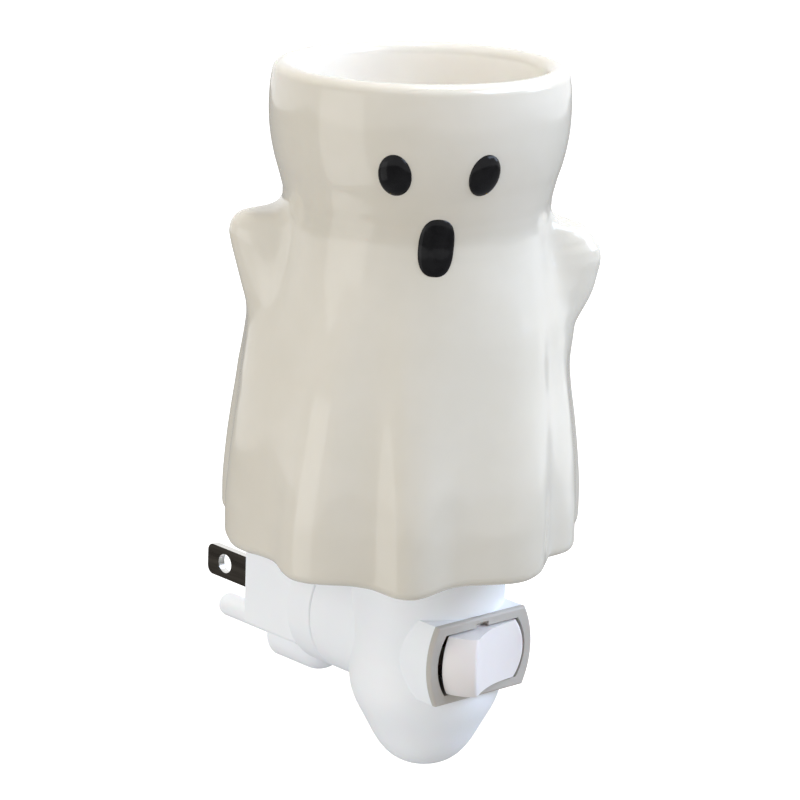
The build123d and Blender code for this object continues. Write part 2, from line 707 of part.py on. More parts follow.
# Plunger: pushes the contact arm, with a bore for its spring
with BuildPart() as plunger:
    with BuildSketch(push_plane.offset(-PLUNGER_REACH)):
        Circle(PLUNGER_RADIUS)
    extrude(amount=PLUNGER_LENGTH)
    with BuildSketch(push_plane.offset(PLUNGER_TIP - PLUNGER_REACH)):
        Circle(SPRING_RADIUS + SHAFT_PLAY)
    extrude(amount=PLUNGER_LENGTH - PLUNGER_TIP, mode=Mode.SUBTRACT)
finish(plunger, "plunger")

# Plunger spring: thin sleeve in place of the coil
with BuildPart() as plunger_spring:
    with BuildSketch(push_plane.offset(PLUNGER_TIP - PLUNGER_REACH)):
        Circle(SPRING_RADIUS)
        Circle(SPRING_RADIUS - SPRING_WIRE, mode=Mode.SUBTRACT)
    extrude(amount=PLUNGER_REACH - PLUNGER_TIP + PLUNGER_HOLE_DEPTH)
finish(plunger_spring, "plunger_spring")

# Live leaf: from the slip button to the switch
with BuildPart() as live_leaf:
    with BuildSketch(wall_plane(leaf_rear)):
        Rectangle(LEAF_WIDTH, LEAF_THICKNESS)
    extrude(amount=tab_end - leaf_rear)
finish(live_leaf, "live_leaf")

# Neutral leaf: from the slip ring up to the screw shell
with BuildPart() as neutral_leaf:
    ring_middle = (SLIP_RING_INNER + SLIP_RING_OUTER) / 2
    neutral_reach = AXIS_REACH - neutral_place
    with BuildSketch(wall_plane(leaf_rear)):
        with Locations((0, ring_middle)):
            Rectangle(LEAF_WIDTH, LEAF_THICKNESS)
    extrude(amount=neutral_reach + LEAF_THICKNESS / 2 - leaf_rear)
    with BuildSketch(wall_plane(neutral_reach - LEAF_THICKNESS / 2)):
        with Locations((0, (ring_middle - LEAF_THICKNESS / 2 + shell_bottom) / 2)):
            Rectangle(LEAF_WIDTH, shell_bottom - ring_middle + LEAF_THICKNESS / 2)
    extrude(amount=LEAF_THICKNESS)
finish(neutral_leaf, "neutral_leaf")

# Contact block: holds both leaves in the neck of the housing
with BuildPart() as contact_block:
    with BuildSketch(wall_plane(CONTACT_BLOCK_REAR)):
        Circle(NUT_POCKET_RADIUS - SEAT_GAP)
        with Locations((0, (CONTACT_BLOCK_TOP + CONTACT_BLOCK_BOTTOM) / 2)):
            Rectangle(NUT_POCKET_RADIUS * 2, CONTACT_BLOCK_TOP - CONTACT_BLOCK_BOTTOM, mode=Mode.INTERSECT)
        with Locations((0, 0), (0, ring_middle)):
            Rectangle(LEAF_WIDTH, LEAF_THICKNESS, mode=Mode.SUBTRACT)
    extrude(amount=CONTACT_BLOCK_FRONT - CONTACT_BLOCK_REAR)
    with BuildSketch(wall_plane(neutral_reach - LEAF_THICKNESS / 2)):
        with Locations((0, CONTACT_BLOCK_TOP)):
            Rectangle(LEAF_WIDTH, (CONTACT_BLOCK_TOP - ring_middle) * 2)
    extrude(amount=LEAF_THICKNESS, mode=Mode.SUBTRACT)
finish(contact_block, "contact_block")

# Switched strip: from the load terminal up to the middle of the lamp holder
with BuildPart() as switched_strip:
    with BuildSketch(wall_plane(tab_end - LEAF_THICKNESS)):
        with Locations((LOAD_CONTACT_PLACE, (switched_height + LEAF_THICKNESS - LEAF_THICKNESS / 2) / 2)):
            Rectangle(LEAF_WIDTH, switched_height + LEAF_THICKNESS + LEAF_THICKNESS / 2)
    extrude(amount=LEAF_THICKNESS)
    with BuildSketch(Plane.XY.offset(switched_height)):
        strip_left = -LEAF_WIDTH / 2
        strip_right = LOAD_CONTACT_PLACE + LEAF_WIDTH / 2
        strip_rear = AXIS_REACH - LEAF_WIDTH / 2
        with Locations(((strip_left + strip_right) / 2, -(strip_rear + tab_end) / 2)):
            Rectangle(strip_right - strip_left, tab_end - strip_rear)
    extrude(amount=LEAF_THICKNESS)
finish(switched_strip, "switched_strip")

# Lamp holder: insulating body that stands in the top of the housing
with BuildPart() as lamp_holder:
    with BuildSketch(base_plane(HOLDER_BOTTOM)):
        Circle(holder_radius)
    extrude(amount=HOUSING_TOP - HOLDER_BOTTOM)
    with BuildSketch(base_plane(HOUSING_TOP)):
        Circle(HOUSING_RADIUS)
    extrude(amount=HOLDER_FLANGE)
    with BuildSketch(base_plane(HOLDER_BOTTOM + HOLDER_FLOOR)):
        Circle(holder_bore)
    extrude(amount=seat_bottom - HOLDER_BOTTOM - HOLDER_FLOOR, mode=Mode.SUBTRACT)
    with BuildSketch(base_plane(HOLDER_BOTTOM)):
        Circle(CENTRE_CONTACT_RADIUS + SEAT_GAP)
        with Locations((0, neutral_place)):
            Rectangle(LEAF_WIDTH + SEAT_GAP, LEAF_THICKNESS + SEAT_GAP)
    extrude(amount=shell_bottom - HOLDER_BOTTOM, mode=Mode.SUBTRACT)
    with BuildSketch(base_plane(seat_bottom)):
        with Locations((-SEAT_SCREW_PLACE, 0), (SEAT_SCREW_PLACE, 0)):
            Circle(SCREW_RADIUS + SHAFT_PLAY)
    extrude(amount=-SCREW_LENGTH, mode=Mode.SUBTRACT)
finish(lamp_holder, "lamp_holder")

# Screw shell: thin sleeve that takes the bulb's cap
with BuildPart() as screw_shell:
    with BuildSketch(base_plane(shell_bottom)):
        Circle(shell_outer_radius)
        Circle(SHELL_INNER_RADIUS, mode=Mode.SUBTRACT)
    extrude(amount=SHELL_HEIGHT)
finish(screw_shell, "screw_shell")

# Centre contact: headed rivet through the floor of the lamp holder
with BuildPart() as centre_contact:
    with BuildSketch(base_plane(HOLDER_BOTTOM)):
        Circle(CENTRE_CONTACT_RADIUS)
    extrude(amount=HOLDER_FLOOR)
    with BuildSketch(base_plane(HOLDER_BOTTOM + HOLDER_FLOOR)):
        Circle(CENTRE_CONTACT_HEAD)
    extrude(amount=CENTRE_CONTACT_HEAD_HEIGHT)
finish(centre_contact, "centre_contact")

# Seat: round plate that carries the shade
with BuildPart() as shade_seat:
    with BuildSketch(base_plane(seat_bottom)):
        Circle(SEAT_RADIUS)
        Circle(SEAT_HOLE_RADIUS, mode=Mode.SUBTRACT)
        with Locations((-SEAT_SCREW_PLACE, 0), (SEAT_SCREW_PLACE, 0)):
            Circle(SCREW_RADIUS + SHAFT_PLAY, mode=Mode.SUBTRACT)
    extrude(amount=SEAT_THICKNESS)
    chamfer(shade_seat.faces().sort_by(Axis.Z)[0].outer_wire().edges(), SEAT_THICKNESS / 4)
finish(shade_seat, "shade_seat")

# Seat screws: two, through the seat into the lamp holder
with BuildPart() as seat_screws:
    with BuildSketch(base_plane(seat_top)):
        with Locations((-SEAT_SCREW_PLACE, 0), (SEAT_SCREW_PLACE, 0)):
            Circle(SCREW_RADIUS)
    extrude(amount=SEAT_GAP - SCREW_LENGTH)
    with BuildSketch(base_plane(seat_top)):
        with Locations((-SEAT_SCREW_PLACE, 0), (SEAT_SCREW_PLACE, 0)):
            Circle(SCREW_HEAD_RADIUS)
    extrude(amount=SCREW_HEAD_HEIGHT)
finish(seat_screws, "seat_screws")

# Cushion ring: soft ring between the seat and the ceramic
with BuildPart() as cushion_ring:
    with BuildSketch(base_plane(seat_top)):
        Circle(CUSHION_OUTER_RADIUS)
        Circle(CUSHION_INNER_RADIUS, mode=Mode.SUBTRACT)
    extrude(amount=CUSHION_THICKNESS)
finish(cushion_ring, "cushion_ring")

# Bulb cap: plain metal sleeve
with BuildPart() as bulb_cap:
    with BuildSketch(base_plane(cap_bottom)):
        Circle(CAP_RADIUS)
        Circle(CAP_RADIUS - CAP_WALL, mode=Mode.SUBTRACT)
    extrude(amount=CAP_HEIGHT)
finish(bulb_cap, "bulb_cap")

# Cap insulator: ring between the cap and its eyelet
with BuildPart() as cap_insulator:
    with BuildSketch(base_plane(insulator_bottom)):
        Circle(EYELET_RADIUS + CAP_WALL)
    with BuildSketch(base_plane(cap_bottom)):
        Circle(CAP_RADIUS)
    loft()
finish(cap_insulator, "cap_insulator")

# Cap eyelet: end contact of the bulb
with BuildPart() as cap_eyelet:
    with BuildSketch(base_plane(eyelet_bottom)):
        Circle(EYELET_RADIUS)
    extrude(amount=EYELET_HEIGHT)
finish(cap_eyelet, "cap_eyelet")


def bulb_profile(inset):
    """Half section of the flame-shaped glass, drawn in by inset."""
    neck = glass_neck_radius - inset
    belly = BULB_RADIUS - inset
    with BuildSketch() as profile:
        with BuildLine():
            Line((0, stem_bottom), (neck, stem_bottom))
            Line((neck, stem_bottom), (neck, cap_top))
            Spline((neck, cap_top), (belly, cap_top + BELLY_RISE), tangents=[(1, 1), (0, 1)])
            Spline((belly, cap_top + BELLY_RISE), (0, bulb_top - inset), tangents=[(0, 1), (-1, 0)])
            Line((0, bulb_top - inset), (0, stem_bottom))
        make_face()
    return profile.sketch


# Bulb glass: hollow, with its neck in the cap
with BuildPart() as bulb_glass:
    with BuildSketch(wall_plane(AXIS_REACH)):
        add(bulb_profile(0))
    revolve(axis=housing_axis)
    with BuildSketch(wall_plane(AXIS_REACH)):
        add(bulb_profile(GLASS_WALL))
    revolve(axis=housing_axis, mode=Mode.SUBTRACT)
finish(bulb_glass, "bulb_glass")

# Glass stem: closes the neck of the bulb and carries the filament wires
with BuildPart() as glass_stem:
    with BuildSketch(base_plane(stem_bottom)):
        Circle(glass_neck_radius - GLASS_WALL - SEAT_GAP)
    extrude(amount=GLASS_WALL * 2)
    with BuildSketch(base_plane(stem_bottom + GLASS_WALL * 2)):
        Circle(glass_neck_radius / 3)
    extrude(amount=FILAMENT_RISE / 2)
finish(glass_stem, "glass_stem")

# Filament: one wire up, across and down
with BuildPart() as filament:
    wire_bottom = stem_bottom + GLASS_WALL * 2
    wire_top = wire_bottom + FILAMENT_RISE
    with BuildLine() as wire_path:
        FilletPolyline(
            (-FILAMENT_HALF, -AXIS_REACH, wire_bottom),
            (-FILAMENT_HALF, -AXIS_REACH, wire_top),
            (FILAMENT_HALF, -AXIS_REACH, wire_top),
            (FILAMENT_HALF, -AXIS_REACH, wire_bottom),
            radius=FILAMENT_BEND,
        )
    with BuildSketch(Plane(origin=(-FILAMENT_HALF, -AXIS_REACH, wire_bottom))):
        Circle(FILAMENT_WIRE / 2)
    sweep(path=wire_path.line)
finish(filament, "filament")


def face_plane(angle, height, lean):
    """Plane on the ghost's face at an angle from its front, facing outwards, leaned in its own plane."""
    right, front = turned(SHADE_TURN + angle)
    radius = shade_radius(height)
    origin = (SHADE_X + front[0] * radius, SHADE_Y + front[1] * radius, height)
    return Plane(origin=origin, x_dir=right, z_dir=front).rotated((0, 0, lean))


# Eyes and mouth: raised ovals set into the face, left and right as seen from the front
face_ovals = []
for label, oval_plane, width, tall in (
    ("left_eye", face_plane(-EYE_ANGLE, eye_height, EYE_LEAN), EYE_WIDTH, EYE_TALL),
    ("right_eye", face_plane(EYE_ANGLE, eye_height, -EYE_LEAN), EYE_WIDTH, EYE_TALL),
    ("mouth", face_plane(0, mouth_height, 0), MOUTH_WIDTH, MOUTH_TALL),
):
    with BuildPart() as oval:
        with BuildSketch(oval_plane.offset(-FACE_SUNK)):
            Ellipse(width / 2, tall / 2)
        extrude(amount=FACE_SUNK + FACE_PROUD)
        fillet(oval.faces().sort_by(Axis(oval_plane.origin, oval_plane.z_dir))[-1].edges(), FACE_ROUND)
    finish(oval, label)
    face_ovals.append(oval.part)


def arm_outline(top):
    """Upright outline of a raised arm under the sheet and the cloth that hangs from it."""
    slope_top = top - ARM_TIP_TALL
    drape_top = slope_top - ARM_SLOPE_TALL
    drape_bottom = drape_top - ARM_DRAPE_TALL
    drape_reach = ARM_REACH - ARM_DRAPE_INSET
    with BuildSketch() as outline:
        with BuildLine():
            Polyline(
                (ARM_ROOT, top),
                (ARM_REACH, top),
                (ARM_REACH, slope_top),
                (drape_reach, drape_top),
                (drape_reach, drape_bottom),
                (ARM_ROOT, drape_bottom),
                close=True,
            )
        make_face()
    return outline.sketch


def arm_plan():
    """Outline of a raised arm from above, narrower at its tip."""
    with BuildSketch() as plan:
        with BuildLine():
            Polyline(
                (ARM_ROOT, -ARM_ROOT_WIDTH / 2),
                (ARM_REACH, -ARM_TIP_WIDTH / 2),
                (ARM_REACH, ARM_TIP_WIDTH / 2),
                (ARM_ROOT, ARM_ROOT_WIDTH / 2),
                close=True,
            )
        make_face()
    return plan.sketch


def hollow_profile(bottom, top, roof_rise):
    """Half section of the hollow inside the ghost's wall, under a roof that rises to a flat middle."""
    rise = (top - bottom) / HOLLOW_STEPS
    heights = [bottom + rise * step for step in range(HOLLOW_STEPS + 1)]
    with BuildSketch() as profile:
        with BuildLine():
            Spline(*[(hollow_radius(height), height) for height in heights])
            Polyline(
                (hollow_radius(top), top),
                (DISH_FLOOR_RADIUS, top + roof_rise),
                (0, top + roof_rise),
                (0, bottom),
                (hollow_radius(bottom), bottom),
            )
        make_face()
    return profile.sketch


# Arms of the ghost, with rounded edges, joined to it below
arms = []
for arm_angle, arm_top in ((LEFT_ARM_ANGLE, ARM_RISE + ARM_TILT), (RIGHT_ARM_ANGLE, ARM_RISE - ARM_TILT)):
    across, outwards = turned(SHADE_TURN + arm_angle)
    arm_back = (-across[0], -across[1], 0)
    arm_plane = Plane(origin=(SHADE_X, SHADE_Y, 0), x_dir=outwards, z_dir=arm_back)
    with BuildPart() as arm:
        with BuildSketch(arm_plane.offset(-ARM_ROOT_WIDTH / 2)):
            add(arm_outline(arm_top))
        extrude(amount=ARM_ROOT_WIDTH)
        with BuildSketch(Plane(origin=(SHADE_X, SHADE_Y, 0), x_dir=outwards, z_dir=(0, 0, 1))):
            add(arm_plan())
        extrude(amount=arm_top, mode=Mode.INTERSECT)
        root_edges = arm.faces().sort_by(Axis((SHADE_X, SHADE_Y, 0), outwards))[0].edges()
        fillet(arm.edges().filter_by(lambda edge: edge not in root_edges), ARM_ROUND)
    arms.append(arm.part)

# Ghost shade: sheet-draped body with arms, wax dish in the head, and a floor that rests on the seat
with BuildPart() as ghost_shade:
    for height in section_heights:
        with BuildSketch(shade_plane(height)):
            add(shade_outline(height))
    loft()
    add(arms)
    saddle_radius = HEM_RADIUS**2 / (2 * HEM_SADDLE)
    with BuildSketch(shade_section_plane().offset(-saddle_radius)):
        with Locations((0, HEM_HEIGHT + saddle_radius)):
            Circle(saddle_radius)
    extrude(amount=2 * saddle_radius, mode=Mode.INTERSECT)
    with BuildSketch(shade_section_plane()):
        add(hollow_profile(HEM_HEIGHT - HEM_TRIM, cushion_top, 0))
        add(hollow_profile(floor_top, hollow_top, HOLLOW_ROOF))
    revolve(axis=shade_axis, mode=Mode.SUBTRACT)
    for angle in [low for low, high, rise in FOLDS if rise < 0]:
        right, front = turned(SHADE_TURN + angle)
        arch_top = HEM_HEIGHT + HEM_SADDLE * sin(radians(angle)) ** 2 + ARCH_RISE
        with BuildSketch(Plane(origin=(SHADE_X, SHADE_Y, arch_top - ARCH_RADIUS), x_dir=right, z_dir=front)):
            Circle(ARCH_RADIUS)
        extrude(amount=HEM_RADIUS + HEM_TRIM, mode=Mode.SUBTRACT)
    with BuildSketch(base_plane(cushion_top)):
        Circle(FLOOR_HOLE_RADIUS)
    extrude(amount=FLOOR_THICKNESS, mode=Mode.SUBTRACT)
    with BuildSketch(shade_section_plane()):
        with BuildLine():
            Line((0, rim_top), (rim_inner_radius, rim_top))
            Spline((rim_inner_radius, rim_top), (DISH_FLOOR_RADIUS, dish_floor), tangents=[(0, -1), (-1, 0)])
            Polyline((DISH_FLOOR_RADIUS, dish_floor), (0, dish_floor), (0, rim_top))
        make_face()
    revolve(axis=shade_axis, mode=Mode.SUBTRACT)
    right, front = turned(SHADE_TURN)
    slope = tan(radians(RIM_TILT))
    rim_normal = (-slope * front[0], -slope * front[1], 1)
    rim_plane = Plane(origin=(SHADE_X, SHADE_Y, RIM_HEIGHT), x_dir=right, z_dir=rim_normal)
    with BuildSketch(rim_plane):
        Circle(HEM_RADIUS)
    extrude(amount=rim_top - NECK_HEIGHT, mode=Mode.SUBTRACT)
    fillet(ghost_shade.faces().sort_by(Axis(rim_plane.origin, rim_plane.z_dir))[-1].edges(), RIM_ROUND)
    add(face_ovals, mode=Mode.SUBTRACT)
finish(ghost_shade, "ghost_shade")
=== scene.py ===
"""Plug-in wax melt warmer, dressed: a glazed ghost shade on a white night-light base.

Metres, in the CAD frame. The ghost's own sizes are in millimetres and degrees.
"""
import json
import math

import bpy
import numpy as np
from mathutils import Matrix, Vector


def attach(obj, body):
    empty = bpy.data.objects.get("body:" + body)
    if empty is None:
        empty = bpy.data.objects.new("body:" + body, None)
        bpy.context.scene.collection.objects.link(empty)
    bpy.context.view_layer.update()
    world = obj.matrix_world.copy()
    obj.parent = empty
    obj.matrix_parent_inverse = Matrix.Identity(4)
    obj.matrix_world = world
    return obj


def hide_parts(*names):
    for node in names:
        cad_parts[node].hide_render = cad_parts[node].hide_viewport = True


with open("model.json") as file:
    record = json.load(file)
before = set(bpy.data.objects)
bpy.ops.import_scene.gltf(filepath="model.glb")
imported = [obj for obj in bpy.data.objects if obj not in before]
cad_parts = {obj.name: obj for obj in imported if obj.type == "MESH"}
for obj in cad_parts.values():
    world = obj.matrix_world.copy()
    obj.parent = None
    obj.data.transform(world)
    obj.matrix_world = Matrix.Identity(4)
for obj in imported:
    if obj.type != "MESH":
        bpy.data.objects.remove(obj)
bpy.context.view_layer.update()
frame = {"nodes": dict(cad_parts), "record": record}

MM = 0.001
scene = bpy.context.scene


# Curves

def cubic(start, start_pull, end, end_pull, s):
    """From start to end as s goes from 0 to 1, with the curve's pull at each end."""
    return (
        start * (1 + 2 * s) * (1 - s) ** 2
        + start_pull * s * (1 - s) ** 2
        + end * s * s * (3 - 2 * s)
        + end_pull * s * s * (s - 1)
    )


def smooth_curve(points, x):
    """Monotone cubic curve through (x, y) points, read at x."""
    px, py = (np.array(c, float) for c in zip(*points))
    gap = np.diff(px)
    slope = np.diff(py) / gap
    tangent = np.empty_like(px)
    tangent[0], tangent[-1] = slope[0], slope[-1]
    for i in range(1, len(px) - 1):
        before, after = slope[i - 1], slope[i]
        tangent[i] = 0.0 if before * after <= 0 else 2 * before * after / (before + after)
    x = np.clip(np.asarray(x, float), px[0], px[-1])
    i = np.clip(np.searchsorted(px, x, side="right") - 1, 0, len(gap) - 1)
    s = (x - px[i]) / gap[i]
    return cubic(py[i], tangent[i] * gap[i], py[i + 1], tangent[i + 1] * gap[i], s)


def closed_ring(points):
    """(degrees, value) points with the first one again, a full turn on."""
    first_angle, first_value = points[0]
    return [*points, (first_angle + 360, first_value)]


def ring_curve(points, angle):
    """Smooth curve through (degrees, value) points, round a full turn."""
    first = points[0][0]
    return smooth_curve(closed_ring(points), (np.asarray(angle, float) - first) % 360 + first)


def ring_wave(points, angle):
    """Round-topped wave through (degrees, value) crests and hollows, round a full turn."""
    px, py = (np.array(c, float) for c in zip(*closed_ring(points)))
    a = (np.asarray(angle, float) - px[0]) % 360 + px[0]
    i = np.clip(np.searchsorted(px, a, side="right") - 1, 0, len(px) - 2)
    s = (a - px[i]) / (px[i + 1] - px[i])
    return py[i] + (py[i + 1] - py[i]) * (1 - np.cos(np.pi * s)) / 2


# Shader nodes

RAMP_STOPS = (0.35, 0.65)
# How fine a metal's lines are along each axis: lines along Y, and lines round an upright cap
DRAWN_LINES = (900.0, 40.0, 900.0)
RING_LINES = (60.0, 60.0, 900.0)


def node_material(name, settings):
    """A material with a Principled shader, whose plain settings go straight on its sockets."""
    material = bpy.data.materials.new(name)
    material.use_nodes = True
    shader = material.node_tree.nodes["Principled BSDF"]
    for key, value in settings.items():
        shader.inputs[key].default_value = value
    return material, material.node_tree, shader


def noise(tree, scale, detail=3.0, roughness=0.5, stretch=None):
    """Noise in object space; stretch squeezes it along each axis."""
    place = tree.nodes.new("ShaderNodeTexCoord")
    source = place.outputs["Object"]
    if stretch:
        mapping = tree.nodes.new("ShaderNodeMapping")
        mapping.inputs["Scale"].default_value = stretch
        tree.links.new(source, mapping.inputs["Vector"])
        source = mapping.outputs["Vector"]
    texture = tree.nodes.new("ShaderNodeTexNoise")
    texture.inputs["Scale"].default_value = scale
    texture.inputs["Detail"].default_value = detail
    texture.inputs["Roughness"].default_value = roughness
    tree.links.new(source, texture.inputs["Vector"])
    return texture.outputs["Fac"]


def drawn_lines(tree, stretch):
    """Fine lines that a metal keeps from being drawn or rolled."""
    return noise(tree, scale=1.0, detail=3.0, roughness=0.6, stretch=stretch)


def ramp(tree, factor, dark, light):
    """Two colours blended by a factor."""
    node = tree.nodes.new("ShaderNodeValToRGB")
    for stop, place, colour in zip(node.color_ramp.elements, RAMP_STOPS, (dark, light)):
        stop.position = place
        stop.color = (*colour, 1)
    tree.links.new(factor, node.inputs["Fac"])
    return node.outputs["Color"]


def tint(tree, shader, factor, dark, light):
    """Base colour between two colours, by a factor."""
    tree.links.new(ramp(tree, factor, dark, light), shader.inputs["Base Color"])


def mixed_tint(tree, shader, share):
    """Base colour from the mix's A to its B, as share goes from 0 to 1."""
    mix = tree.nodes.new("ShaderNodeMix")
    mix.data_type = "RGBA"
    tree.links.new(share, mix.inputs["Factor"])
    tree.links.new(mix.outputs["Result"], shader.inputs["Base Color"])
    return mix


def rough(tree, shader, factor, low, high):
    """Roughness spread over a range, by a factor."""
    node = tree.nodes.new("ShaderNodeMapRange")
    node.inputs["To Min"].default_value = low
    node.inputs["To Max"].default_value = high
    tree.links.new(factor, node.inputs["Value"])
    tree.links.new(node.outputs["Result"], shader.inputs["Roughness"])


def bump(tree, shader, height, depth, strength):
    """Relief of a real depth in metres."""
    node = tree.nodes.new("ShaderNodeBump")
    node.inputs["Distance"].default_value = depth
    node.inputs["Strength"].default_value = strength
    tree.links.new(height, node.inputs["Height"])
    tree.links.new(node.outputs["Normal"], shader.inputs["Normal"])


def background_rays(tree, kinds):
    """1 for a ray of one of these kinds and 0 for the others."""
    path = tree.nodes.new("ShaderNodeLightPath")
    found = path.outputs[kinds[0]]
    for kind in kinds[1:]:
        either = tree.nodes.new("ShaderNodeMath")
        either.operation = "MAXIMUM"
        tree.links.new(found, either.inputs[0])
        tree.links.new(path.outputs[kind], either.inputs[1])
        found = either.outputs[0]
    return found


# Materials

def glaze_material():
    """Warm white glaze, painted whiter inside the dish as painted light from above: faint cloudy tint, slow
    waves in the gloss.
    """
    material, tree, shader = node_material("glaze", {
        "IOR": 1.5,
        "Coat Weight": 0.6,
        "Coat Roughness": 0.04,
        "Subsurface Weight": 0.12,
        "Subsurface Scale": 0.004,
        "Subsurface Radius": (1.0, 0.8, 0.55),
    })
    cloud = noise(tree, scale=38.0, detail=4.0, roughness=0.55)
    inside = tree.nodes.new("ShaderNodeAttribute")
    inside.attribute_name = "dish_painted_light_share"
    mix = mixed_tint(tree, shader, inside.outputs["Fac"])
    outer = ramp(tree, cloud, dark=(0.665, 0.63, 0.55), light=(0.71, 0.675, 0.60))
    # Inside the dish the colour is painted whiter: painted light standing in for light from above
    dish = ramp(tree, cloud, dark=(0.88, 0.85, 0.795), light=(0.91, 0.88, 0.83))
    tree.links.new(outer, mix.inputs["A"])
    tree.links.new(dish, mix.inputs["B"])
    rough(tree, shader, noise(tree, scale=120.0, detail=2.0), low=0.10, high=0.22)
    bump(tree, shader, noise(tree, scale=95.0, detail=1.5), depth=0.00012, strength=0.5)
    return material


def black_glaze_material():
    """Black glaze of the eyes and mouth."""
    material, tree, shader = node_material("black_glaze", {"IOR": 1.5, "Specular IOR Level": 0.2})
    tint(tree, shader, noise(tree, scale=400.0), dark=(0.003, 0.003, 0.004), light=(0.008, 0.008, 0.009))
    rough(tree, shader, noise(tree, scale=250.0, detail=2.0), low=0.08, high=0.16)
    bump(tree, shader, noise(tree, scale=260.0, detail=1.5), depth=0.00008, strength=0.4)
    return material


def plastic_material(name, dark, light, shine=(0.30, 0.42), grain=1400.0, relief=0.00002):
    """Moulded plastic: faint tone clouds and a fine satin grain."""
    material, tree, shader = node_material(name, {
        "IOR": 1.46,
        "Subsurface Weight": 0.08,
        "Subsurface Scale": 0.003,
    })
    tint(tree, shader, noise(tree, scale=60.0, detail=3.0), dark, light)
    rough(tree, shader, noise(tree, grain, detail=2.0), *shine)
    bump(tree, shader, noise(tree, grain, detail=2.0), relief, strength=0.5)
    return material


def metal_material(name, dark, light, shine=(0.18, 0.32), stretch=DRAWN_LINES):
    """Metal with drawn lines along one way and a little tarnish."""
    material, tree, shader = node_material(name, {"Metallic": 1.0})
    tint(tree, shader, noise(tree, scale=180.0, detail=4.0), dark, light)
    lines = drawn_lines(tree, stretch)
    rough(tree, shader, lines, *shine)
    bump(tree, shader, lines, depth=0.00001, strength=0.35)
    return material


def blade_painted_reflection_material():
    """Nickel blades: the broad faces painted dark, a painted dark reflection; the cut edges bright in the
    nickel's own colour.
    """
    material, tree, shader = node_material("blade_metal", {"Metallic": 1.0})
    place = tree.nodes.new("ShaderNodeTexCoord")
    split = tree.nodes.new("ShaderNodeSeparateXYZ")
    tree.links.new(place.outputs["Normal"], split.inputs["Vector"])
    flat = tree.nodes.new("ShaderNodeMath")
    flat.operation = "ABSOLUTE"
    tree.links.new(split.outputs["X"], flat.inputs[0])
    lines = drawn_lines(tree, DRAWN_LINES)
    # The broad faces are painted near-black: a painted dark reflection, not the nickel's colour
    painted_dark_faces = ramp(tree, lines, dark=(0.05, 0.043, 0.036), light=(0.085, 0.075, 0.063))
    mix = mixed_tint(tree, shader, flat.outputs[0])
    mix.inputs["A"].default_value = (0.78, 0.77, 0.75, 1)
    tree.links.new(painted_dark_faces, mix.inputs["B"])
    rough(tree, shader, lines, low=0.22, high=0.36)
    bump(tree, shader, lines, depth=0.00001, strength=0.35)
    return material


def glass_material():
    """Clear bulb glass."""
    material, tree, shader = node_material("clear_glass", {"Transmission Weight": 1.0, "IOR": 1.45})
    tint(tree, shader, noise(tree, scale=50.0), dark=(0.96, 0.97, 0.97), light=(1.0, 1.0, 1.0))
    rough(tree, shader, noise(tree, scale=90.0), low=0.0, high=0.03)
    return material


def rubber_material():
    """Soft pale ring."""
    material, tree, shader = node_material("pale_rubber", {"IOR": 1.45})
    tint(tree, shader, noise(tree, scale=300.0), dark=(0.55, 0.55, 0.53), light=(0.66, 0.66, 0.64))
    rough(tree, shader, noise(tree, scale=900.0), low=0.55, high=0.75)
    bump(tree, shader, noise(tree, scale=1500.0), depth=0.00004, strength=0.6)
    return material


PLASTICS = {
    "plug_plastic": {"dark": (0.88, 0.905, 0.955), "light": (0.91, 0.935, 0.975)},
    "housing_plastic": {"dark": (0.88, 0.90, 0.95), "light": (0.91, 0.93, 0.97)},
    # The bezel's own grey, darkened further as painted shade
    "switch_plastic": {
        "dark": (0.45, 0.43, 0.40),
        "light": (0.505, 0.485, 0.455),
        "shine": (0.44, 0.52),
        "relief": 0.000006,
    },
    # The rocker's colour, darker and less blue than the housing's, is painted shade from the skirt above it
    "rocker_painted_shade_plastic": {
        "dark": (0.79, 0.76, 0.765),
        "light": (0.83, 0.80, 0.80),
        "shine": (0.26, 0.32),
        "grain": 500.0,
        "relief": 0.000006,
    },
    "insulator": {"dark": (0.66, 0.63, 0.56), "light": (0.72, 0.69, 0.62), "shine": (0.45, 0.6)},
    "plunger_plastic": {"dark": (0.66, 0.66, 0.64), "light": (0.72, 0.72, 0.70), "shine": (0.4, 0.55)},
}
METALS = {
    "brass_contact": {"dark": (0.60, 0.42, 0.16), "light": (0.72, 0.54, 0.24)},
    "cap_metal": {"dark": (0.66, 0.54, 0.30), "light": (0.76, 0.66, 0.42), "stretch": RING_LINES},
    "steel": {"dark": (0.45, 0.45, 0.46), "light": (0.60, 0.60, 0.61)},
    "filament": {"dark": (0.20, 0.18, 0.16), "light": (0.32, 0.30, 0.27)},
}
finishes = {
    "blade_metal": blade_painted_reflection_material(),
    "cushion": rubber_material(),
    "glaze": glaze_material(),
    "black_glaze": black_glaze_material(),
    "bulb_glass": glass_material(),
}
for name, look in PLASTICS.items():
    finishes[name] = plastic_material(name, **look)
for name, look in METALS.items():
    finishes[name] = metal_material(name, **look)

for part in frame["record"]["subparts"]:
    # The rocker takes its own finish, which carries painted shade
    finish = "rocker_painted_shade_plastic" if part["node"] == "rocker" else part["material_slot"]
    node = frame["nodes"][part["node"]]
    node.data.materials.clear()
    node.data.materials.append(finishes[finish])


# Ghost shade: its angles start at its front and grow toward its right arm, as seen from the front

# The shade's axis and turn, and the base's axis, as in the CAD
SHADE_X, SHADE_Y, SHADE_TURN = -3.85, -38.36, -33.4
BASE_AXIS = (0.0, -41.4)
TURN = math.radians(SHADE_TURN)
RIGHT = np.array([math.cos(TURN), math.sin(TURN)])
FRONT = np.array([math.sin(TURN), -math.cos(TURN)])

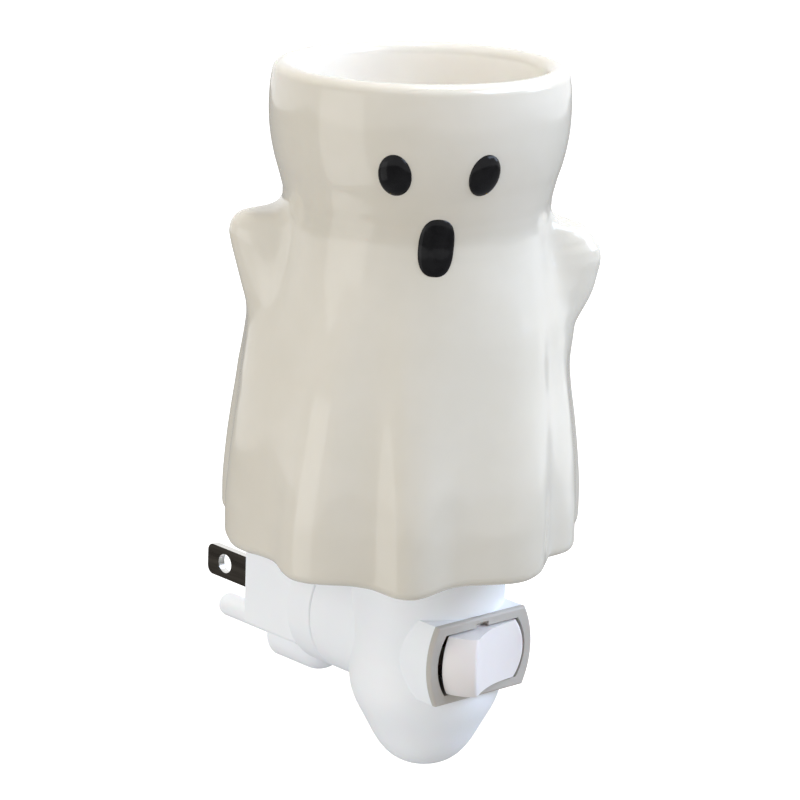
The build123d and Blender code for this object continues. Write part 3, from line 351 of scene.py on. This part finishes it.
# Mean outer radius by height, without folds and arms
BODY = [
    (12, 33.2), (17, 33.6), (22, 33.9), (27, 33.9), (32, 33.6), (37, 33.2), (43, 32.4), (48, 31.6),
    (53, 30.7), (58, 29.6), (63, 28.5), (68, 27.3), (73, 26.2), (77, 25.4), (80, 24.9), (83, 24.7),
    (86, 25.1), (88.6, 25.75), (91.5, 26.5), (94.5, 27.4), (98, 28.1), (101, 28.45), (104, 28.55),
    (107, 28.45), (110, 28.1),
]
# Up the middle of an arm: radius and height, and the height of the plain body beside it
ARM = [
    (33.4, 14, 14), (33.9, 22, 22), (34.0, 28, 28), (33.45, 37, 37), (32.85, 43, 43), (32.0, 50, 50),
    (31.6, 56, 56), (31.6, 61, 61), (32.1, 65, 65), (33.1, 69, 69), (34.1, 73, 72.5), (35.0, 76.6, 75),
    (35.4, 78.8, 76.6), (35.15, 80.4, 77.9), (34.3, 81.8, 79.2), (33.0, 82.6, 80.5), (31.0, 83.0, 82),
    (29.0, 83.2, 83.4), (27.3, 83.6, 84.8), (26.1, 84.5, 86.1), (25.5, 85.8, 87.2), (25.5, 87.4, 88.3),
    (26.1, 90, 90.2), (27.4, 94.5, 94.5), (28.1, 98, 98), (28.45, 101, 101), (28.55, 104, 104),
    (28.45, 107, 107), (28.1, 110, 110),
]
# Left arm first: its angle, how far it is lifted, and its share of TIP_SWELL
ARM_ANGLES = (-94.0, 90.0)
ARM_LIFT = (0.2, -2.0)
ARM_SWELL = (0.0, 1.0)
# By height of the plain body: an arm's half width in degrees, the share of its lift, and the swell of its tip
ARM_WIDTH = [(0, 17.0), (60, 16.0), (70, 14.5), (78, 12.5), (83, 13.0), (90, 14.0), (111, 14.0)]
LIFT_SHARE = [(0, 0), (58, 0), (70, 1), (84, 1), (92, 0), (111, 0)]
TIP_SWELL = [
    (0, 0), (62, 0), (67, 0.6), (71, 1.1), (74, 1.0), (76, 0.3), (77.9, -0.8), (79.5, -1.1), (81.5, -0.5),
    (84, 0), (111, 0),
]
# Power of an arm's edge: 2 fades softly, and more is steeper
ARM_EDGE = 2.6

# Folds: angle at the hem, angle higher up, and how far the crest or hollow stands from the mean
FOLDS = [
    (-104, -104, 0.9), (-94, -94, -0.7), (-83, -80, 0.8), (-59, -54, -1.0), (-43, -37, 1.2), (-20, -22, -1.0),
    (-7, -9, 1.3), (9, 18, -1.1), (38.5, 45, 1.1), (50, 58, -1.0), (62, 70, 0.8), (75, 81, -0.5),
    (90, 94, 0.7), (106, 107, -0.8), (121, 121, 0.7), (136, 136, -0.9), (151, 151, 0.9), (166, 166, -0.9),
    (181, 181, 0.9), (196, 196, -0.9), (211, 211, 0.9), (226, 226, -0.9), (241, 241, -0.3),
]
# By height: the share of the folds that shows, and how far the skirt leans to the left
FOLD_FADE = [(12, 1.0), (30, 1.0), (45, 0.75), (58, 0.45), (68, 0.2), (77, 0.0), (110, 0.0)]
LEAN = [(12, 1.0), (30, 1.0), (43, 1.1), (52, 1.2), (60, 0.5), (66, 0.0), (110, 0.0)]
# Between these heights a fold goes from its angle at the hem to the one higher up
FOLD_BOTTOM, FOLD_TOP = 25.0, 60.0
# Height of the hem by angle
HEM = [
    (-104, 22.3), (-96, 21.5), (-90, 20.8), (-83, 19.7), (-78, 18.9), (-72, 19.0), (-66, 19.3), (-60, 19.4),
    (-55, 19.1), (-50, 18.1), (-45, 17.8), (-40, 17.9), (-34, 18.1), (-28, 18.2), (-22, 18.0), (-16, 17.4),
    (-11, 16.9), (-6, 16.8), (-1, 17.2), (4, 17.8), (9, 18.2), (14, 18.4), (24, 18.2), (34, 18.0), (41, 18.5),
    (47, 18.6), (52, 20.0), (58, 20.0), (64, 19.9), (70, 20.2), (76, 20.8), (83, 21.3), (90, 21.5),
    (105, 22.0), (120, 20.5), (135, 21.5), (150, 19.5), (165, 20.5), (180, 18.5), (195, 20.0), (210, 19.0),
    (225, 20.5), (240, 19.5), (249, 21.2),
]
HEM_WALL, HEM_ROUND = 4.2, 2.0

# Rim: its wall, its round top, and its tilt, which starts some way below it
RIM_WALL, RIM_ROUND, RIM_RISE = 4.4, 2.15, 1.36
TILT_BOTTOM, TILT_TOP = 97, 110
TILT_SHARE = [(0, 0), (TILT_BOTTOM, 0), (TILT_TOP, 1), (112, 1)]
# Dish: radius and height where its wall meets the rim and the flat floor, and the curve's pull there
DISH_TOP, DISH_TOP_PULL = np.array((23.7, 110.0)), np.array((1.3, -40.7))
DISH_FLOOR, DISH_FLOOR_PULL = np.array((13.0, 81.3)), np.array((-39.4, 0.0))
# Radius of the small face that closes the skin in the middle of the dish and of the hollow's roof
PINHOLE = 0.4
# Under the skirt: the floor that rests on the cushion, its hole for the bulb, and the hollow above it
FLOOR_BOTTOM, FLOOR_TOP, FLOOR_RADIUS, FLOOR_HOLE = 27.2, 31.0, 28.6, 16.0
HOLLOW_TOP, HOLLOW_WALL = 72, 4.8
HOLLOW_ROOF = [(19, 74), (16, 75.8), (13, 77), (8, 77.3), (PINHOLE, 77.3)]

# How finely the skin is divided: columns round it, and rows on each stretch from the dish to the roof
GHOST_COLUMNS = 520
DISH_FLOOR_ROWS, DISH_WALL_ROWS, RIM_ROWS, SIDE_ROWS, HEM_ROWS = 8, 36, 11, 200, 10
UNDER_ROWS, FLOOR_ROWS, FLOOR_TOP_ROWS, HOLLOW_ROWS = 8, 5, 4, 17
# Steps for finding the hem on the side, and for spacing the columns
SIDE_STEPS, COLUMN_STEPS = 400, 4001
# Where the columns stand closer: how many more of them, and over how many degrees
ARM_CROWD, ARM_CROWD_WIDTH = 1.6, 20.0
FRONT_CROWD, FRONT_CROWD_WIDTH = 0.5, 60.0


def fold_relief(angle, height):
    """How far the folds stand out."""
    share = np.clip((height - FOLD_BOTTOM) / (FOLD_TOP - FOLD_BOTTOM), 0, 1)
    low = ring_wave([(hem_angle, out) for hem_angle, _, out in FOLDS], angle)
    high = ring_wave([(top_angle, out) for _, top_angle, out in FOLDS], angle)
    return (low * (1 - share) + high * share) * smooth_curve(FOLD_FADE, height)


def off_angle(angle, middle):
    """Signed difference of two angles in degrees."""
    return (angle - middle + 180) % 360 - 180


def rim_lift(angle):
    """The rim stands a little higher at the front than at the back."""
    return RIM_RISE * np.cos(np.radians(angle))


def outer_points(angle, t):
    """Radius and height of the outside, for angles in degrees and places t up the side."""
    steps = np.linspace(0, 1, len(ARM))
    arm_radius, arm_height, body_height = (smooth_curve(list(zip(steps, c)), t) for c in zip(*ARM))
    body_radius = smooth_curve(BODY, body_height)
    radius, height = body_radius.copy(), body_height.copy()
    width = smooth_curve(ARM_WIDTH, body_height)
    for middle, lift, swell in zip(ARM_ANGLES, ARM_LIFT, ARM_SWELL):
        weight = np.exp(-np.abs(off_angle(angle, middle) / width) ** ARM_EDGE)
        up = lift * smooth_curve(LIFT_SHARE, body_height)
        radius = radius + weight * (arm_radius + swell * smooth_curve(TIP_SWELL, body_height) - body_radius)
        height = height + weight * (arm_height + up - body_height)
    height = height + rim_lift(angle) * smooth_curve(TILT_SHARE, body_height)
    radius = radius + fold_relief(angle, height)
    radius = radius - smooth_curve(LEAN, height) * np.sin(np.radians(angle))
    return radius, height


def outward(angle):
    """Level direction away from the ghost's axis, as x and y."""
    a = np.radians(angle)
    x = np.sin(a) * RIGHT[0] + np.cos(a) * FRONT[0]
    y = np.sin(a) * RIGHT[1] + np.cos(a) * FRONT[1]
    return x, y


def in_place(angle, radius, height):
    """Points in the CAD frame, in metres, from the ghost's own round coordinates."""
    x, y = outward(angle)
    return np.stack([SHADE_X + radius * x, SHADE_Y + radius * y, height], axis=-1) * MM


def ghost_columns():
    """Angles round the ghost, closer together at the arms and the front."""
    even = np.linspace(-180, 180, COLUMN_STEPS)
    density = np.ones_like(even)
    for middle in ARM_ANGLES:
        density += ARM_CROWD * np.exp(-(off_angle(even, middle) / ARM_CROWD_WIDTH) ** 2)
    density += FRONT_CROWD * np.exp(-(off_angle(even, 0.0) / FRONT_CROWD_WIDTH) ** 2)
    total = np.concatenate([[0], np.cumsum((density[1:] + density[:-1]) / 2)])
    share = np.linspace(0, total[-1], GHOST_COLUMNS + 1)[:-1]
    return np.interp(share, total, even)


def dish_rows(columns):
    """The dish's flat floor from its middle out, then its wall up to the rim."""
    floor_radius, floor_height = DISH_FLOOR
    for radius in np.linspace(PINHOLE, floor_radius, DISH_FLOOR_ROWS + 1)[:-1]:
        yield radius, floor_height
    for s in np.linspace(1, 0, DISH_WALL_ROWS):
        radius, height = cubic(DISH_TOP, DISH_TOP_PULL, DISH_FLOOR, DISH_FLOOR_PULL, s)
        share = np.clip((height - TILT_BOTTOM) / (TILT_TOP - TILT_BOTTOM), 0, 1)
        yield radius, height + rim_lift(columns) * share


def rim_rows(columns):
    """Over the rounded rim, from the dish to the outside."""
    top_radius, top_height = outer_points(columns, np.full(columns.shape, 1.0))
    half = RIM_WALL / 2
    for turn in np.linspace(0, math.pi, RIM_ROWS + 2)[1:-1]:
        yield top_radius - half - half * math.cos(turn), top_height + RIM_ROUND * math.sin(turn)


def hem_places(columns):
    """How far up the side, from 0 to 1, the round of the hem starts."""
    places = np.linspace(1, 0, SIDE_STEPS)
    _, heights = outer_points(columns[None, :], places[:, None])
    edge = ring_curve(HEM, columns) + HEM_ROUND
    return np.array([np.interp(-edge[i], -heights[:, i], places) for i in range(len(columns))])


def side_rows(columns, hem_place):
    """Down the outside, from the rim to the hem."""
    for s in np.linspace(0, 1, SIDE_ROWS):
        yield outer_points(columns, 1 + (hem_place - 1) * s)


def hem_rows(low_radius, low_height):
    """Round the hem, from the outside to the inside."""
    half = HEM_WALL / 2
    for turn in np.linspace(0, math.pi, HEM_ROWS + 1)[1:]:
        yield low_radius - half + half * math.cos(turn), low_height - HEM_ROUND * math.sin(turn)


def bulb_hole(columns):
    """Radius from the ghost's axis to the floor's hole, which is round about the base's axis."""
    x, y = outward(columns)
    offset = np.array([BASE_AXIS[0] - SHADE_X, BASE_AXIS[1] - SHADE_Y])
    along = x * offset[0] + y * offset[1]
    return along + np.sqrt(along ** 2 - offset @ offset + FLOOR_HOLE ** 2)


def inside_rows(columns, low_radius, low_height):
    """Up inside the skirt to the floor, through its hole, and up the hollow to its roof."""
    skirt = low_radius - HEM_WALL
    for s in np.linspace(0, 1, UNDER_ROWS + 1)[1:]:
        yield skirt + (FLOOR_RADIUS - skirt) * s, low_height + (FLOOR_BOTTOM - low_height) * s
    hole = bulb_hole(columns)
    for s in np.linspace(0, 1, FLOOR_ROWS + 1)[1:]:
        yield FLOOR_RADIUS + (hole - FLOOR_RADIUS) * s, FLOOR_BOTTOM
    yield hole, (FLOOR_BOTTOM + FLOOR_TOP) / 2
    yield hole, FLOOR_TOP
    heights = np.linspace(FLOOR_TOP, HOLLOW_TOP, HOLLOW_ROWS + 1)
    walls = [smooth_curve(BODY, height) - HOLLOW_WALL for height in heights]
    for s in np.linspace(0, 1, FLOOR_TOP_ROWS + 1)[1:]:
        yield hole + (walls[0] - hole) * s, FLOOR_TOP
    yield from zip(walls[1:], heights[1:])
    yield from HOLLOW_ROOF


def shade_piece(name, points, faces, slot):
    """A smooth-shaded mesh piece that rides on the shade."""
    mesh = bpy.data.meshes.new(name)
    mesh.from_pydata([tuple(p) for p in points], [], faces)
    mesh.update()
    mesh.shade_smooth()
    mesh.materials.append(finishes[slot])
    piece = bpy.data.objects.new(name, mesh)
    scene.collection.objects.link(piece)
    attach(piece, "shade")
    return piece


def ring_faces(rings, spokes):
    """Four-sided faces between each ring of points and the next."""
    faces = []
    for ring in range(rings - 1):
        a, b = ring * spokes, (ring + 1) * spokes
        for spoke in range(spokes):
            after = (spoke + 1) % spokes
            faces.append((a + spoke, b + spoke, b + after, a + after))
    return faces


def mark_dish_painted_light(ghost, dish_count):
    """Tells the glaze which points get the dish's painted light, fading out over the rim."""
    rings = len(ghost.data.vertices) // GHOST_COLUMNS
    share = np.zeros(rings)
    share[:dish_count] = 1.0
    share[dish_count:dish_count + RIM_ROWS] = np.linspace(0.5, 0.0, RIM_ROWS)
    values = np.repeat(share, GHOST_COLUMNS)
    ghost.data.attributes.new("dish_painted_light_share", "FLOAT", "POINT").data.foreach_set("value", values)


def make_ghost():
    """The ghost as one closed skin, from the middle of the dish over the outside to the hollow's roof."""
    columns = ghost_columns()
    hem_place = hem_places(columns)
    low_radius, low_height = outer_points(columns, hem_place)
    dish = list(dish_rows(columns))
    rows = [
        *dish,
        *rim_rows(columns),
        *side_rows(columns, hem_place),
        *hem_rows(low_radius, low_height),
        *inside_rows(columns, low_radius, low_height),
    ]
    shape = columns.shape
    rings = [in_place(columns, np.broadcast_to(r, shape), np.broadcast_to(h, shape)) for r, h in rows]
    last = (len(rings) - 1) * GHOST_COLUMNS
    faces = ring_faces(len(rings), GHOST_COLUMNS)
    faces.append(tuple(range(GHOST_COLUMNS)))
    faces.append(tuple(reversed(range(last, last + GHOST_COLUMNS))))
    ghost = shade_piece("ghost_glazed", np.concatenate(rings), faces, "glaze")
    mark_dish_painted_light(ghost, len(dish))
    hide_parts("ghost_shade")


make_ghost()


# Eyes and mouth: glossy domes on the face

DOME_RINGS, DOME_SPOKES = 19, 72
# How far its middle stands proud, its edge is sunk, and its back lies behind the edge
DOME_PROUD, DOME_SUNK, DOME_BACK = 0.95, 0.35, 0.8
# Power of its round: 2 is an ellipse, and more is flatter in the middle
DOME_ROUND = 2.4


def face_dome(name, node, angle, height, wide, tall, lean, square=2.0):
    """A domed oval that follows the curve of the face; over 2, square fills its corners."""
    points = []
    lean = math.radians(lean)
    for share in (ring / (DOME_RINGS - 1) for ring in range(DOME_RINGS)):
        for spoke in range(DOME_SPOKES):
            a = 2 * math.pi * spoke / DOME_SPOKES
            full = (abs(math.cos(a)) ** square + abs(math.sin(a)) ** square) ** (-1 / square)
            u, v = wide / 2 * share * full * math.cos(a), tall / 2 * share * full * math.sin(a)
            u, v = u * math.cos(lean) + v * math.sin(lean), v * math.cos(lean) - u * math.sin(lean)
            base = float(smooth_curve(BODY, height + v))
            rise = -DOME_SUNK + (DOME_PROUD + DOME_SUNK) * math.sqrt(max(0.0, 1 - share ** DOME_ROUND))
            turn = angle + math.degrees(u / base)
            points.append(in_place(np.array(turn), np.array(base + rise), np.array(height + v)))
    for edge in points[-DOME_SPOKES:]:
        inward = np.array([SHADE_X * MM, SHADE_Y * MM, edge[2]]) - edge
        points.append(edge + inward / np.linalg.norm(inward) * DOME_BACK * MM)
    faces = ring_faces(DOME_RINGS + 1, DOME_SPOKES)
    faces.append(tuple(range(DOME_RINGS * DOME_SPOKES, len(points))))
    piece = shade_piece(name, points, faces, "black_glaze")
    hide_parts(node)


face_dome("eye_left_glazed", "left_eye", angle=-17.5, height=96.65, wide=6.5, tall=8.4, lean=-6.0)
face_dome("eye_right_glazed", "right_eye", angle=17.5, height=96.6, wide=6.5, tall=8.5, lean=11.0)
face_dome("mouth_glazed", "mouth", angle=0.2, height=82.6, wide=7.0, tall=11.5, lean=4.0, square=2.6)


# Camera, at the photograph's viewing angle

AZIMUTH, ELEVATION, ROLL = (math.radians(a) for a in (-42.06, 16.29, 2.0))
DISTANCE = 864.03 * MM
TARGET = Vector((-9.52, -41.83, 47.82)) * MM
IMAGE_PIXELS, FOCAL_PIXELS = 800, 4540.92
SENSOR_WIDTH = 36.0
CLIP_NEAR, CLIP_FAR = 0.01, 50

to_camera = Vector((
    math.sin(AZIMUTH) * math.cos(ELEVATION),
    -math.cos(AZIMUTH) * math.cos(ELEVATION),
    math.sin(ELEVATION),
))
level = (-to_camera).cross(Vector((0, 0, 1))).normalized()
upward = level.cross(-to_camera)
across = level * math.cos(ROLL) + upward * math.sin(ROLL)
upright = upward * math.cos(ROLL) - level * math.sin(ROLL)
pose = Matrix((across, upright, to_camera)).transposed().to_4x4()
pose.translation = TARGET + to_camera * DISTANCE

camera_data = bpy.data.cameras.new("camera")
camera_data.sensor_width = SENSOR_WIDTH
camera_data.lens = FOCAL_PIXELS * SENSOR_WIDTH / IMAGE_PIXELS
camera_data.clip_start, camera_data.clip_end = CLIP_NEAR, CLIP_FAR
camera = bpy.data.objects.new("camera", camera_data)
scene.collection.objects.link(camera)
camera.matrix_world = pose
scene.camera = camera


# Lamps

MIDDLE = Vector((-0.004, -0.040, 0.045))
toward = Vector((to_camera.x, to_camera.y, 0)).normalized()
sideways = Vector((across.x, across.y, 0)).normalized()


def area_light(name, place, size, power, colour, spread=180):
    """A soft lamp turned to the object's middle; its place is right, near and up from there."""
    data = bpy.data.lights.new(name, "AREA")
    data.shape = "RECTANGLE"
    data.size, data.size_y = size
    data.energy = power
    data.color = colour
    data.spread = math.radians(spread)
    right, near, up = place
    lamp = bpy.data.objects.new(name, data)
    spot = MIDDLE + sideways * right + toward * near + Vector((0, 0, up))
    lamp.location = spot
    lamp.rotation_mode = "QUATERNION"
    lamp.rotation_quaternion = (MIDDLE - spot).to_track_quat("-Z", "Y")
    scene.collection.objects.link(lamp)
    return lamp


area_light("key_right", (0.75, 0.30, 0.62), size=(0.5, 0.5), power=4.0, colour=(0.77, 0.93, 1.23))
area_light("rear_right", (0.95, -0.20, 0.45), size=(0.5, 0.7), power=4.8, colour=(0.80, 0.95, 1.22))
area_light("top_soft", (-0.10, 0.0, 0.95), size=(0.5, 0.5), power=0.35, colour=(1.0, 1.0, 1.0))
area_light(
    "dish_light", (0.08, -0.15, 0.75), size=(0.15, 0.15), power=0.085, colour=(1.0, 0.99, 0.96), spread=30
)
area_light("fill_left", (-0.85, 0.45, -0.25), size=(0.7, 0.9), power=1.5, colour=(0.97, 0.98, 0.98))
# The last one fills in from the left without showing in the gloss
front_left = area_light(
    "front_left", (-0.75, 0.60, 0.02), size=(0.7, 0.5), power=2.0, colour=(1.0, 0.99, 0.98)
)
front_left.visible_glossy = False


# World: white where it is seen or mirrored, and a warm glow that falls off upward as a light

WHITE = (1, 1, 1, 1)
GLOW_COLOUR = (1.0, 0.97, 0.91, 1)
GLOW_FALL = {"From Min": -0.3, "From Max": 0.7, "To Min": 0.98, "To Max": 0.56}


def studio_world():
    """A world whose glow lights the object, with a white background."""
    world = bpy.data.worlds.new("studio")
    world.use_nodes = True
    tree = world.node_tree
    tree.nodes.clear()
    place = tree.nodes.new("ShaderNodeTexCoord")
    split = tree.nodes.new("ShaderNodeSeparateXYZ")
    tree.links.new(place.outputs["Generated"], split.inputs["Vector"])
    fall = tree.nodes.new("ShaderNodeMapRange")
    for key, value in GLOW_FALL.items():
        fall.inputs[key].default_value = value
    tree.links.new(split.outputs["Z"], fall.inputs["Value"])
    glow = tree.nodes.new("ShaderNodeBackground")
    glow.inputs["Color"].default_value = GLOW_COLOUR
    tree.links.new(fall.outputs["Result"], glow.inputs["Strength"])
    white = tree.nodes.new("ShaderNodeBackground")
    white.inputs["Color"].default_value = WHITE
    white.inputs["Strength"].default_value = 1.0
    mix = tree.nodes.new("ShaderNodeMixShader")
    shown = background_rays(tree, ("Is Camera Ray", "Is Transmission Ray", "Is Glossy Ray"))
    tree.links.new(shown, mix.inputs["Fac"])
    tree.links.new(glow.outputs[0], mix.inputs[1])
    tree.links.new(white.outputs[0], mix.inputs[2])
    output = tree.nodes.new("ShaderNodeOutputWorld")
    tree.links.new(mix.outputs[0], output.inputs["Surface"])
    return world


scene.world = studio_world()


# Floor

GROUND_HEIGHT, GROUND_HALF = -0.75, 4.0
GROUND_GREY = (0.4, 0.4, 0.4, 1)
GROUND_ROUGHNESS = 0.9
# Strength of its own light: what only the camera sees, and what it gives off to all
GROUND_SEEN, GROUND_GLOW = 1.0, 0.1


def floor_material():
    """Grey under the lamps, and white as the camera sees it."""
    material, tree, shader = node_material("floor_white", {
        "Base Color": GROUND_GREY,
        "Roughness": GROUND_ROUGHNESS,
        "Emission Color": WHITE,
    })
    strength = tree.nodes.new("ShaderNodeMath")
    strength.operation = "MULTIPLY_ADD"
    tree.links.new(background_rays(tree, ("Is Camera Ray",)), strength.inputs[0])
    strength.inputs[1].default_value = GROUND_SEEN
    strength.inputs[2].default_value = GROUND_GLOW
    tree.links.new(strength.outputs[0], shader.inputs["Emission Strength"])
    return material


CORNERS = ((-1, -1), (1, -1), (1, 1), (-1, 1))
ground = [(x * GROUND_HALF, y * GROUND_HALF, GROUND_HEIGHT) for x, y in CORNERS]
floor_mesh = bpy.data.meshes.new("floor")
floor_mesh.from_pydata(ground, [], [(0, 1, 2, 3)])
floor_mesh.materials.append(floor_material())
floor = bpy.data.objects.new("floor", floor_mesh)
scene.collection.objects.link(floor)

scene.view_settings.view_transform = "Standard"
